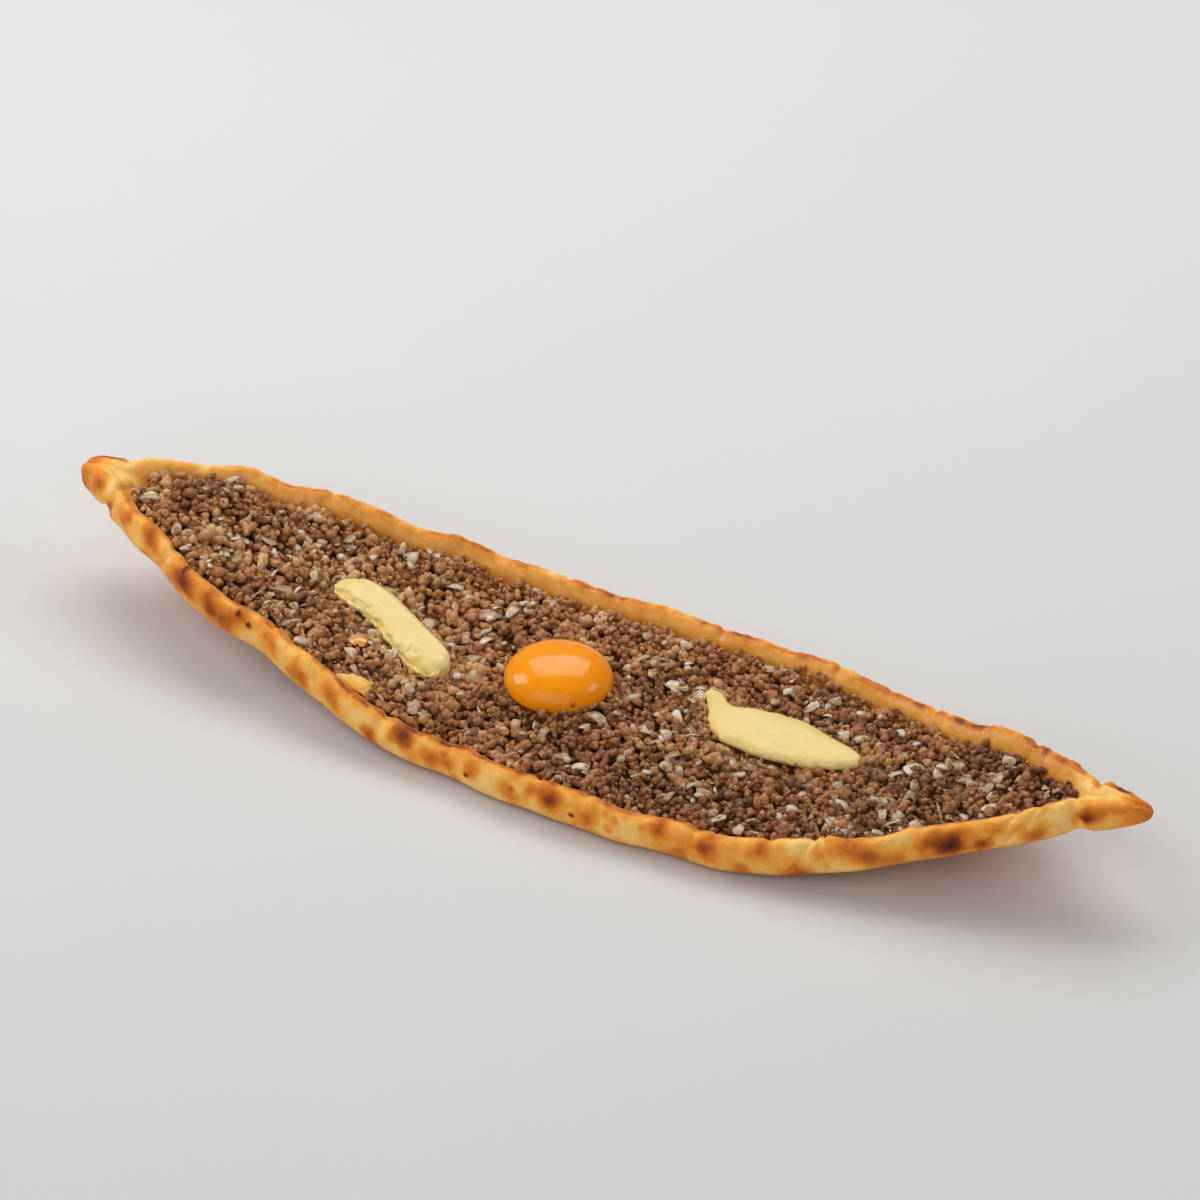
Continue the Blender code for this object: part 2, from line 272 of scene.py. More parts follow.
def sharpen_tip(where, start, end, share):
    """Draw an end out to a blunt point."""
    x = where[:, 0]
    t = np.clip((x - start) / (end - start), 0.0, 1.0) ** 1.5
    near = t > 0
    middle_z = np.interp(x, RIM[:, 0], 0.42 * RIM[:, 1] + 0.58 * RIM[:, 2])
    where[near, 1] *= 1.0 - share * t[near]
    where[near, 2] = middle_z[near] + (where[near, 2] - middle_z[near]) * (1.0 - 0.8 * share * t[near])


def choose(piece, kind, parts, wanted):
    """Go to edit mode with just these vertices or faces selected."""
    bpy.ops.object.mode_set(mode="EDIT")
    bpy.ops.mesh.select_mode(type=kind)
    bpy.ops.mesh.select_all(action="DESELECT")
    bpy.ops.object.mode_set(mode="OBJECT")
    parts.foreach_set("select", wanted)
    bpy.ops.object.mode_set(mode="EDIT")


def refine_rim(crust):
    """Close the folds at both tips, then split the faces that show, for finer creases."""
    only(crust)
    ends = np.abs(points(crust)[:, 0] + 0.001) > 0.199
    choose(crust, "VERT", crust.data.vertices, ends)
    bpy.ops.mesh.vertices_smooth(factor=0.5, repeat=12)
    bpy.ops.object.mode_set(mode="OBJECT")
    centres = np.empty(len(crust.data.polygons) * 3)
    crust.data.polygons.foreach_get("center", centres)
    centres = centres.reshape(-1, 3)
    base, crest, crest_y, _ = rim_at(centres[:, 0], centres[:, 1])
    share = (centres[:, 2] - base) / np.maximum(crest - base, 1e-6)
    shows = (share > 0.15) & ((np.abs(centres[:, 1]) > crest_y - 1 * MM) | (share > 0.55))
    choose(crust, "FACE", crust.data.polygons, shows)
    bpy.ops.mesh.subdivide(number_cuts=1)
    bpy.ops.object.mode_set(mode="OBJECT")


def make_crust():
    """The baked boat, with its puffs, creases and blisters, and how toasted and oily it is at each point."""
    crust = copy_of("crust", "baked_crust")
    finish_with(crust, "SUBSURF", levels=2, render_levels=2)
    refine_rim(crust)
    soften(crust)
    where = points(crust)
    out = outward(crust)
    x, y, z = where.T
    base, crest, crest_y, outer = rim_at(x, y)
    share = np.clip((z - base) / np.maximum(crest - base, 1e-6), 0.0, 1.2)
    side = np.where(y > 0, 1.0, -1.0)
    under = smooth_step((-out[:, 2] - 0.3) / 0.5) * (share < 0.3)
    inside = smooth_step((crest_y - np.abs(y) + 0.2 * MM) / (2.2 * MM)) * (1.0 - under)
    outside = (1.0 - inside) * (1.0 - under)
    open_tray = smooth_step((outer - 12 * MM) / (8 * MM))
    from_crest = np.sqrt((np.abs(y) - crest_y + np.where(side > 0, 0.3, 1.0) * MM) ** 2 + (z - crest) ** 2)
    at_crest = hill(from_crest, 4.0 * MM)

    along = np.stack((x, 0.02 * side, 0 * x), axis=1)
    push = 0.75 * MM * cloud(where, 22 * MM, 3.0)
    push += 0.45 * MM * cloud(where, 9 * MM, 8.0) * (0.35 + 0.65 * outside)
    push += 0.20 * MM * cloud(where, 3.6 * MM, 5.0)
    push += at_crest * MM * (0.80 * cloud(along, 8 * MM, 6.0) + 0.50 * cloud(along, 3.6 * MM, 16.0))
    for crease_side, place, lean, depth, width in CREASES:
        line = x - (place + lean * (share - 0.5)) * MM + 0.8 * MM * cloud(where, 5 * MM, place)
        on = (side == crease_side) * (1.0 - under) * smooth_step((share - 0.1) / 0.3)
        push -= on * depth * MM * hill(line, width * MM)
        push += on * 0.45 * depth * MM * hill(line - 2.6 * width * MM, 1.7 * width * MM)
        push += on * 0.30 * depth * MM * hill(line + 2.4 * width * MM, 1.5 * width * MM)
    drawn = outside * (side < 0) * hill(x - 0.184, 13 * MM)
    stretched = np.stack((x / 9.0, y, z), axis=1)
    push += drawn * 0.50 * MM * cloud(stretched, 2.0 * MM, 61.0)
    wrinkled = np.stack((x, y / 4.0, z / 4.0), axis=1)
    push += outside * 0.26 * MM * cloud(wrinkled, 2.4 * MM, 71.0)

    toast = 0.04 + 0.14 * cloud(where, 18 * MM, 51.0) * outside + 0.10 * cloud(where, 7 * MM, 52.0)
    draw = random.Random(11)
    spots = [(s, px * MM, h, r * MM, a, 0.30) for s, px, h, r, a in TOASTED]
    for _ in range(120):
        spot_side = draw.choice((-1, 1))
        spots.append((spot_side, draw.uniform(-0.222, 0.222), draw.uniform(0.15, 0.98),
                      draw.uniform(1.0, 3.6) * MM, draw.uniform(0.15, 0.38), 0.5))
    for spot_side, px, height, radius, strength, puff in spots:
        near = (np.abs(x - px) < 3.4 * radius) & (side == spot_side) & (inside < 0.8)
        if not near.any():
            continue
        up = (share[near] - height) * 14 * MM
        ragged = 1.0 + 0.40 * cloud(where[near], 0.8 * radius + 1 * MM, px * 90)
        apart = np.sqrt((x[near] - px) ** 2 + (1.05 * up) ** 2) / ragged
        mark_here = 0.80 * hill(apart, 0.95 * radius) + 0.20 * hill(apart, 1.6 * radius)
        toast[near] += strength * mark_here * (1.0 - 0.7 * np.clip(toast[near], 0, 1))
        push[near] += puff * MM * hill(apart, radius) * strength
    for pin_side, px, height in PIN_BLISTERS:
        apart = np.sqrt((x - px * MM) ** 2 + ((share - height) * 14 * MM) ** 2)
        on = side == pin_side
        toast = np.maximum(toast, on * 0.9 * smooth_step(1.5 - apart / (1.1 * MM)))
        push += on * 0.5 * MM * hill(apart, 1.4 * MM)

    singed = 0.22 + 0.30 * cloud(along, 14 * MM, 21.0) + 0.25 * cloud(along, 5 * MM, 2.0)
    for caught_side, place, length, strength in CAUGHT:
        on = (side == caught_side) * strength * hill(x - place * MM, length * MM)
        singed = singed + 0.62 * on * (0.8 + 0.5 * cloud(along, 6 * MM, 14.0))
    singed = np.clip(singed, 0.0, 0.95)
    fade = hill(from_crest, (1.1 + 1.5 * singed) * MM) * (0.85 + 0.4 * cloud(where, 2.5 * MM, 33.0))
    glow = 0.48 * hill(from_crest, 4.2 * MM)
    toast = np.maximum(toast, singed * np.maximum(fade, glow) * open_tray)
    ends = smooth_step((np.abs(x) - 0.208) / 0.016)
    toast = np.maximum(toast, ends * (0.42 + 0.25 * cloud(where, 8 * MM, 31.0)))
    toast = np.maximum(toast, under * (0.36 + 0.30 * cloud(where, 16 * MM, 41.0) + 0.2 * cloud(where, 5 * MM, 1.0)))
    # The inside wall grows darker the further it lies below the crest.
    toast += inside * open_tray * 0.26 * smooth_step((crest - z - 2 * MM) / (7 * MM))
    toast = np.clip(toast, 0.0, 1.0)

    push *= 1.0 - 0.75 * under
    where += out * push[:, None]
    where[:, 2] = np.maximum(where[:, 2], base)
    pinch(where, -0.2085, 3.2 * MM, 0.18)
    pinch(where, 0.2015, 3.4 * MM, 0.15)
    sharpen_tip(where, 0.206, 0.2268, 0.50)
    move_points(crust, where)
    mark(crust, "toast", toast)
    mark(crust, "oily", inside * open_tray)
    return crust


# ---- filling ----

def tree_of(node):
    """A CAD node's mesh, ready for plumb lines."""
    data = frame["nodes"][node].data
    return BVHTree.FromPolygons([p.co for p in data.vertices], [tuple(f.vertices) for f in data.polygons])


def top_of(tree, x, y):
    """Height where a plumb line meets a piece, or None beside it."""
    place, normal, _, _ = tree.ray_cast(Vector((x, y, 0.2)), Vector((0, 0, -1)))
    return None if place is None else place.z


def greased(x, y):
    """How much melted fat lies at each place, from 0 to 1."""
    edge = np.concatenate([points(frame["nodes"][node])[::3, :2] for node in ("butter_left", "butter_right")])
    flat = np.stack((x, y), axis=1)
    apart = np.array([np.sqrt(((edge - spot) ** 2).sum(1).min()) for spot in flat])
    soft = hill(np.maximum(apart - 1 * MM, 0.0), 7.0 * MM)
    for px, py, radius in PALE_PATCHES:
        soft = np.maximum(soft, 0.9 * hill(np.hypot(x - px * MM, y - py * MM), radius * MM))
    ragged = cloud(np.stack((x, y, 0 * x), axis=1), 9 * MM, 12.0)
    return np.clip(soft * (0.9 + 0.9 * ragged) + 0.35 * np.clip(ragged - 0.35, 0, 1), 0.0, 1.0)


def make_core():
    """The packed mass that the loose crumbs lie on, coloured very dark as painted shade in the gaps between them,
    raised where melted fat fills it.
    """
    core = copy_of("mince_filling", "mince_core")
    where = points(core)
    base = rim_at(where[:, 0], where[:, 1])[0]
    height = where[:, 2] - base
    where[:, 2] -= CORE_DROP * smooth_step((height - 5.2 * MM) / (4.0 * MM))
    move_points(core, where)
    finish_with(core, "REMESH", mode="VOXEL", voxel_size=1.25 * MM)
    where = points(core)
    out = outward(core)
    push = 0.75 * MM * cloud(where, 3.2 * MM, 4.0) + 0.4 * MM * cloud(where, 7.0 * MM, 9.0)
    push += 0.3 * MM * cloud(where, 1.7 * MM, 14.0)
    wet = greased(where[:, 0], where[:, 1]) * (out[:, 2] > 0.2)
    move_points(core, where + out * (push * (1 - 0.6 * wet) + 3.0 * MM * wet)[:, None])
    soften(core)
    mark(core, "grease", wet)
    return core


def random_way(draw):
    """A random direction of length 1."""
    return np.array(Vector((draw.gauss(0, 1), draw.gauss(0, 1), draw.gauss(0, 1))).normalized())


def crumb_shapes():
    """Crumbs of radius 1, each two to five small lumps stuck together, with each point's reach from the middle kept
    for painted shade in the hollows between the lumps.
    """
    shapes = []
    for seed in range(20):
        draw = random.Random(seed)
        lumps = (5, 3, 4, 2)[seed % 4]
        spots, sides = [], []
        for part in range(lumps):
            bpy.ops.mesh.primitive_ico_sphere_add(subdivisions=1, radius=1.0)
            lump = bpy.context.object
            where = points(lump)
            shift = 7.0 * seed + 3.0 * part
            where *= (1.0 + 0.50 * cloud(where, 0.95, shift + 1) + 0.30 * cloud(where, 0.42, shift + 2))[:, None]
            away = random_way(draw)
            where -= np.outer(0.8 * np.maximum(where @ away - draw.uniform(0.4, 0.7), 0.0), away)
            where = where * draw.uniform(0.42, 0.78) + random_way(draw) * draw.uniform(0.35, 0.66)
            sides.append(faces_of(lump) + sum(map(len, spots)))
            spots.append(where)
            bpy.data.objects.remove(lump)
        where = np.concatenate(spots)
        # Reach from the crumb's middle, 0 to 1: the meat's material darkens its low end as painted shade between the
        # lumps.
        height = np.linalg.norm(where, axis=1)
        shapes.append((where, np.concatenate(sides), (height - height.min()) / np.ptp(height)))
    return shapes


def tiny_shapes():
    """Bits of radius 1 and twenty faces."""
    shapes = []
    for seed in range(10):
        bpy.ops.mesh.primitive_ico_sphere_add(subdivisions=1, radius=1.0)
        bit = bpy.context.object
        where = points(bit)
        where *= (1.0 + 0.55 * cloud(where, 0.7, 5.0 * seed + 3))[:, None]
        shapes.append((where, faces_of(bit), np.full(len(where), 0.8)))
        bpy.data.objects.remove(bit)
    return shapes


def onion_shapes(length, width, thickness, curl):
    """Ragged chips cut from a curved onion layer, each from a cube, paler at their edges."""
    shapes = []
    for seed in range(9):
        draw = random.Random(seed + int(length * 1e5))
        bpy.ops.mesh.primitive_cube_add(size=1.0)
        chip = bpy.context.object
        chip.scale = (length * draw.uniform(0.65, 1.25), width * draw.uniform(0.7, 1.25), thickness)
        only(chip)
        bpy.ops.object.transform_apply(location=False, rotation=False, scale=True)
        finish_with(chip, "SUBSURF", subdivision_type="SIMPLE", levels=2, render_levels=2)
        where = points(chip)
        lo, hi = where.min(0), where.max(0)
        share = 2.0 * (where - lo) / (hi - lo) - 1.0
        corner = 1.0 - 0.24 * np.abs(share[:, 0] * share[:, 1]) ** 2
        ragged = 1.0 + 0.35 * cloud(np.stack((share[:, 0], share[:, 1], 0 * share[:, 0]), axis=1), 1.1, seed)
        where[:, 0] *= corner * ragged * (1.0 + draw.uniform(-0.3, 0.3) * share[:, 1])
        where[:, 1] *= corner * ragged * (1.0 + draw.uniform(-0.5, 0.5) * share[:, 0])
        edge = np.maximum(np.abs(share[:, 0]), np.abs(share[:, 1]))
        where[:, 2] *= 1.0 - 0.45 * edge ** 4
        where[:, 2] -= curl * draw.uniform(0.5, 1.3) * (share[:, 0] ** 2 - 0.4)
        where[:, 2] += 0.35 * curl * draw.uniform(-1, 1) * share[:, 0] * share[:, 1]
        shapes.append((where, faces_of(chip), edge ** 3))
        bpy.data.objects.remove(chip)
    return shapes


def scatter(name, shapes, places):
    """Join turned copies of a few small shapes into one piece, each with its own tone."""
    corners = shapes[0][1].shape[1]
    spots, faces, tones, edges, start = [], [], [], [], 0
    for which, centre, turn, size, tone in places:
        shape, sides, edge = shapes[which % len(shapes)]
        spots.append((shape * size) @ turn.T + centre)
        faces.append(sides + start)
        tones.append(np.full(len(shape), tone))
        edges.append(edge)
        start += len(shape)
    spots, faces = np.concatenate(spots), np.concatenate(faces)
    data = bpy.data.meshes.new(name)
    data.vertices.add(len(spots))
    data.vertices.foreach_set("co", spots.ravel())
    data.loops.add(faces.size)
    data.loops.foreach_set("vertex_index", faces.ravel())
    data.polygons.add(len(faces))
    data.polygons.foreach_set("loop_start", np.arange(len(faces)) * corners)
    data.update(calc_edges=True)
    data.shade_smooth()
    piece = bpy.data.objects.new(name, data)
    bpy.context.scene.collection.objects.link(piece)
    mark(piece, "tone", np.concatenate(tones))
    # For crumbs this is the reach from the middle, whose low end is darkened as painted shade; for onion chips it is
    # their paler rim.
    mark(piece, "edge", np.concatenate(edges))
    return piece


def any_turn(draw):
    """A random turn, as a 3 by 3 array."""
    axis = Vector((draw.gauss(0, 1), draw.gauss(0, 1), draw.gauss(0, 1)))
    return np.array(Matrix.Rotation(draw.uniform(0, 2 * math.pi), 3, axis.normalized()))


def lying_turn(draw, tilt):
    """A turn that leaves a flat chip lying, tilted a little."""
    spin = Matrix.Rotation(draw.uniform(0, 2 * math.pi), 3, "Z")
    lean = Matrix.Rotation(draw.gauss(0, tilt), 3, "X") @ Matrix.Rotation(draw.gauss(0, tilt), 3, "Y")
    return np.array(spin @ lean)


class Heap:
    """Round grains dropped one by one, each coming to rest on those below it."""

    cell = 5.5 * MM

    def __init__(self):
        self.cells = {}

    def near(self, x, y, reach):
        """The grains in the cells within reach."""
        cell = self.cell
        for i in range(int((x - reach) // cell), int((x + reach) // cell) + 1):
            for j in range(int((y - reach) // cell), int((y + reach) // cell) + 1):
                yield from self.cells.get((i, j), ())

    def rest(self, x, y, radius, floor, packing=0.76):
        """The height at which a grain dropped here comes to rest."""
        z = floor
        for gx, gy, gz, gr in self.near(x, y, radius + 3 * MM):
            gap = (radius + gr) * packing
            flat = (gx - x) ** 2 + (gy - y) ** 2
            if flat < gap * gap:
                z = max(z, gz + math.sqrt(gap * gap - flat))
        return z

    def add(self, x, y, z, radius):
        home = int(x // self.cell), int(y // self.cell)
        self.cells.setdefault(home, []).append((x, y, z, radius))


def nearness(x, y, patches):
    """How near a place is to the closest of some round patches, from 0 to 1."""
    return max(math.exp(-(math.hypot(x - px * MM, y - py * MM) / (r * MM)) ** 2) for px, py, r in patches)


def drop_filling():
    """Where every crumb and onion chip comes to rest."""
    draw = random.Random(4)
    filling, yolk = tree_of("mince_filling"), tree_of("egg_yolk")
    butters = [tree_of(node) for node in ("butter_left", "butter_right")]
    low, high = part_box("mince_filling")
    yolk_low, yolk_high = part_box("egg_yolk")
    yolk_mid = (yolk_low + yolk_high) / 2
    yolk_radius = (yolk_high.x - yolk_low.x) / 2
    heap = Heap()
    crumbs = []

    def allowed(x, y, radius):
        """The filling's height where a crumb fits inside the rim and clear of the butter, or None."""
        top = top_of(filling, x, y)
        if top is None:
            return None
        around = [(x + dx * MM, y + dy * MM) for dx, dy in ((1.4, 0), (-1.4, 0), (0, 1.4), (0, -1.4))]
        if any(all(top_of(tree, *spot) is not None for spot in around) for tree in butters):
            return None
        for dx, dy in ((0, 0.7), (0, -0.7), (0.7, 0), (-0.7, 0)):
            if top_of(filling, x + dx * radius, y + dy * radius) is None:
                return None
        return top

    for _ in range(CRUMB_TRIES):
        if len(crumbs) >= CRUMB_MOST:
            break
        x, y = draw.uniform(low.x, high.x), draw.uniform(low.y, high.y)
        clump = noise.noise(Vector((x, y, 5)) / (12 * MM))
        end_gap = math.hypot(x - END_CLUMP[0], y - END_CLUMP[1])
        end_clump = math.exp(-(end_gap / (10 * MM)) ** 2)
        radius = CRUMB_SMALLEST + CRUMB_SPREAD * draw.random() ** 1.2 * (1.0 + 0.35 * clump)
        radius += 0.9 * MM * end_clump * draw.random()
        top = allowed(x, y, radius)
        if top is None:
            continue
        around = math.hypot(x - yolk_mid.x, y - yolk_mid.y) - yolk_radius
        in_front = (0.5 * (x - yolk_mid.x) - 0.866 * (y - yolk_mid.y)) / yolk_radius
        in_front = smooth_step((in_front - 0.1) / 0.6)
        if around < -0.4 * MM - 1.9 * MM * in_front:
            continue
        base = float(rim_at(np.array([x]), np.array([y]))[0][0])
        top = max(top, base + 9.5 * MM)
        cap = top + HEAP_TOP + 2.2 * MM * clump
        cap += (1.9 + 2.4 * in_front) * MM * math.exp(-((around - 0.5 * MM) / (3.5 * MM)) ** 2)
        cap += 2.8 * MM * end_clump
        fat = nearness(x, y, PALE_PATCHES)
        cap -= 1.2 * MM * fat
        cap -= 3.4 * MM * nearness(x, y, PITS)
        z = heap.rest(x, y, radius, top - CORE_DROP + 0.5 * radius)
        shell = top_of(yolk, x, y)
        if shell is not None:
            z = max(z, shell + 0.30 * radius)
        if z > cap:
            continue
        heap.add(x, y, z, radius)
        size = radius * np.array((draw.uniform(1.1, 1.6), draw.uniform(1.0, 1.3), draw.uniform(0.9, 1.2)))
        broad = noise.noise(Vector((x, y, 7)) / (28 * MM))
        # Tone paler towards the left end and the back, the side the lamps stand on: painted light, over tone that
        # varies at random and paler fat; darker round the clump at the left end.
        tone = 0.43 - 1.2 * x + 0.8 * y + 0.22 * clump + 0.2 * fat + 0.25 * broad + draw.gauss(0, 0.14)
        tone -= 0.34 * math.exp(-(end_gap / (14 * MM)) ** 2)
        crumbs.append((draw.randrange(20), np.array((x, y, z)), any_turn(draw), size, tone))

    def lay(count, radius, tilt, sink):
        """Onion chips, lying where the noise and the fat gather them."""
        chips = []
        while len(chips) < count:
            x, y = draw.uniform(low.x, high.x), draw.uniform(low.y, high.y)
            top = allowed(x, y, 3.0 * MM)
            if top is None or math.hypot(x - yolk_mid.x, y - yolk_mid.y) < yolk_radius + 2 * MM:
                continue
            rich = noise.noise(Vector((x, y, 3)) / (24 * MM)) + 1.1 * nearness(x, y, PALE_PATCHES)
            if rich < draw.uniform(-0.6, 0.5):
                continue
            z = heap.rest(x, y, radius, top - 2 * MM) - sink
            if z > top + 2.0 * MM:
                continue
            heap.add(x, y, z - 0.5 * MM, radius)
            size = 0.6 + 0.8 * draw.random() ** 2
            which, turn = draw.randrange(9), lying_turn(draw, tilt)
            chips.append((which, np.array((x, y, z)), turn, size, draw.random() ** 1.3))
        return chips

    bits = []
    while len(bits) < TINY_BITS:
        x, y = draw.uniform(low.x, high.x), draw.uniform(low.y, high.y)
        radius = draw.uniform(0.5, 0.95) * MM
        top = allowed(x, y, radius)
        around = math.hypot(x - yolk_mid.x, y - yolk_mid.y) - yolk_radius
        if top is None or around < 0:
            continue
        z = heap.rest(x, y, radius, top - CORE_DROP, 0.88)
        if z > top + 2.5 * MM or z < top - 2.6 * MM:
            continue
        heap.add(x, y, z, radius)
        size = radius * np.array((draw.uniform(1.0, 1.7), draw.uniform(0.8, 1.1), draw.uniform(0.7, 1.0)))
        bits.append((draw.randrange(10), np.array((x, y, z)), any_turn(draw), size, draw.gauss(0.40, 0.20)))
    onion = (lay(ONION_DICE, 1.0 * MM, 0.32, 0.65 * MM), lay(ONION_PETALS, 1.2 * MM, 0.25, 0.60 * MM),
             lay(ONION_SLIVERS, 0.7 * MM, 0.20, 0.60 * MM))
    return (crumbs, bits, *onion)


def make_filling():
    """The loose crumbs in four sizes and the onion in three kinds."""
    crumbs, bits, dice, petals, slivers = drop_filling()
    wet = greased(np.array([c[1][0] for c in crumbs]), np.array([c[1][1] for c in crumbs]))
    crumbs = [(*crumb[:4], crumb[4] + 0.20 * soft) for crumb, soft in zip(crumbs, wet)]
    shapes = crumb_shapes()
    crumbs.sort(key=lambda crumb: crumb[3].max())
    third = (len(crumbs) + 2) // 3
    pieces = [scatter("mince_bits", tiny_shapes(), bits)]
    groups = crumbs[:third], crumbs[third:2 * third], crumbs[2 * third:]
    for name, group in zip(("fine", "medium", "coarse"), groups):
        pieces.append(scatter("mince_crumbs_" + name, shapes, group))
    kinds = (("dice", (4.2, 3.4, 1.2, 0.3), dice), ("petals", (6.4, 3.2, 0.7, 0.7), petals),
             ("slivers", (6.5, 1.2, 0.7, 0.5), slivers))
    onion = []
    for name, measures, places in kinds:
        onion.append(scatter("onion_" + name, onion_shapes(*(v * MM for v in measures)), places))
    return pieces, onion


# ---- toppings ----

def make_yolk():
    """A wet ball that sags a little where it rests."""
    low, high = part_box("egg_yolk")
    middle = (low + high) / 2
    waist = low.z + 0.432 * (high.z - low.z)
    bpy.ops.mesh.primitive_ico_sphere_add(subdivisions=6, radius=1.0)
    yolk = bpy.context.object
    yolk.name = "yolk"
    where = points(yolk)
    up = where[:, 2]
    full = np.where(up > 0, (high.z - waist), (waist - low.z))
    slack = 1.0 + 0.012 * cloud(where, 0.9, 5.0)
    radii = np.array(((high.x - low.x) / 2, (high.y - low.y) / 2))
    where[:, :2] *= radii * (1.0 + 0.02 * hill(up + 0.25, 0.4))[:, None] * slack[:, None]
    where[:, 2] = np.sign(up) * np.abs(up) ** 0.93 * full * slack
    move_points(yolk, where + np.array((middle.x, middle.y, waist)))
    soften(yolk)
    return yolk


def make_flap(filling):
    """A torn tongue of dough lying on the filling by the front rim."""
    bpy.ops.mesh.primitive_grid_add(x_subdivisions=28, y_subdivisions=18, size=1.0)
    flap = bpy.context.object
    flap.name = "dough_flap"
    where = points(flap)
    across, along = where[:, 0].copy(), where[:, 1].copy()
    ragged = 1.0 + 0.30 * cloud(where, 0.28, 4.0)
    width = (1.0 - 0.55 * np.clip(along + 0.5, 0, 1)) * ragged
    x = -76 * MM + 15 * MM * across * width + 3 * MM * along
    y = -43.5 * MM + 8.5 * MM * along * (1 + 0.2 * cloud(where, 0.3, 9.0))
    heights = [top_of(filling, px, py) for px, py in zip(x, y)]
    lie = np.array([0.0 if h is None else h for h in heights])
    lie = np.where(lie > 0, lie, lie[lie > 0].mean())
    edge = np.maximum(np.abs(across), np.abs(along)) * 2
    z = lie + 0.9 * MM - 1.2 * MM * smooth_step((edge - 0.7) / 0.3) + 0.5 * MM * cloud(where, 0.3, 2.0)
    move_points(flap, np.stack((x, y, z), axis=1))
    finish_with(flap, "SOLIDIFY", thickness=1.8 * MM, offset=-1.0)
    soften(flap)
    mark(flap, "toast", 0.14 + 0.20 * cloud(points(flap), 4 * MM, 1.0))
    return flap


def make_oil(filling):
    """A small orange pool of fat beside the left butter."""
    bpy.ops.mesh.primitive_ico_sphere_add(subdivisions=4, radius=1.0)
    pool = bpy.context.object
    pool.name = "oil_pool"
    where = points(pool)
    spread = (1.0 + 0.35 * cloud(where, 0.8, 6.0))[:, None]
    middle = np.array((-87 * MM, -23.5 * MM, top_of(filling, -87 * MM, -23.5 * MM) + 0.2 * MM))
    move_points(pool, where * spread * np.array((3.8, 2.8, 1.0)) * MM + middle)
    soften(pool)
    return pool


def make_butter(node, name, seed, curls, dents, roughness):
    """A soft smear with a knife's long marks, torn along one edge."""
    butter = copy_of(node, name)
    finish_with(butter, "SUBSURF", levels=3, render_levels=3)
    where = points(butter)
    for px, py, radius, depth in dents:
        away = where[:, :2] - np.array((px, py)) * MM
        apart = np.linalg.norm(away, axis=1)
        where[:, :2] += away * (depth * MM * hill(apart, radius * MM) / np.maximum(apart, 1 * MM))[:, None]
    move_points(butter, where)
    where = points(butter)
    out = outward(butter)
    middle = where.mean(0)
    flat = where[:, :2] - middle[:2]
    _, axes = np.linalg.eigh(np.cov(flat.T))
    along, across = flat @ axes[:, 1], flat @ axes[:, 0]
    if axes[1, 0] < 0:
        across = -across
    half = np.abs(across).max()
    upper = smooth_step((out[:, 2] - 0.2) / 0.6)
    rim = smooth_step((0.8 - np.abs(out[:, 2])) / 0.5)
    marks = np.stack((along / 10.0, across / 0.9, 0 * along), axis=1)
    push = 0.09 * MM * cloud(marks, 2.2 * MM, seed) * upper
    push += 0.22 * MM * cloud(where, 12 * MM, seed + 1) * upper
    torn = smooth_step((1.0 * MM - across) / (5 * MM)) * roughness
    push += rim * (0.25 + 1.1 * torn) * MM * cloud(where, 4.0 * MM, seed + 2)
    push += rim * (0.25 + 0.5 * torn) * MM * cloud(where, 1.6 * MM, seed + 3)
    shelf = smooth_step((-across / half - 0.42 + 0.35 * cloud(where, 5 * MM, seed + 7)) / 0.14)
    push -= 1.0 * MM * shelf * upper * roughness
    cracks = hill(cloud(where, 7.5 * MM, seed + 5), 0.05)
    cracks *= smooth_step((cloud(where, 15 * MM, seed + 6) + 0.15) / 0.3)
    push -= 0.6 * MM * cracks * upper * (0.15 + 0.85 * torn) * roughness
    for px, py, radius, rise in curls:
        push += rise * MM * hill(np.hypot(where[:, 0] - px * MM, where[:, 1] - py * MM), radius * MM) * upper
    push += 0.55 * MM * hill(across - 0.66 * half, 1.5 * MM) * upper
    move_points(butter, where + out * push[:, None])
    soften(butter)
    # Kept for the colour: paler on the raised ridges and deeper yellow in the knife marks, cracks and shelf, painted
    # light and shade.
    mark(butter, "ridge", np.clip(0.5 + push / (1.6 * MM), 0, 1))
    return butter


# ---- materials ----

def group_of(name, inputs, outputs, fill):
    """A node group with named sockets; fill wires its inside."""
    group = bpy.data.node_groups.new(name, "ShaderNodeTree")
    for label, kind, value in inputs:
        socket = group.interface.new_socket(name=label, in_out="INPUT", socket_type=kind)
        socket.default_value = value
    for label, kind in outputs:
        group.interface.new_socket(name=label, in_out="OUTPUT", socket_type=kind)
    fill(Wiring(group), group.nodes.new("NodeGroupInput").outputs, group.nodes.new("NodeGroupOutput").inputs)
    return group


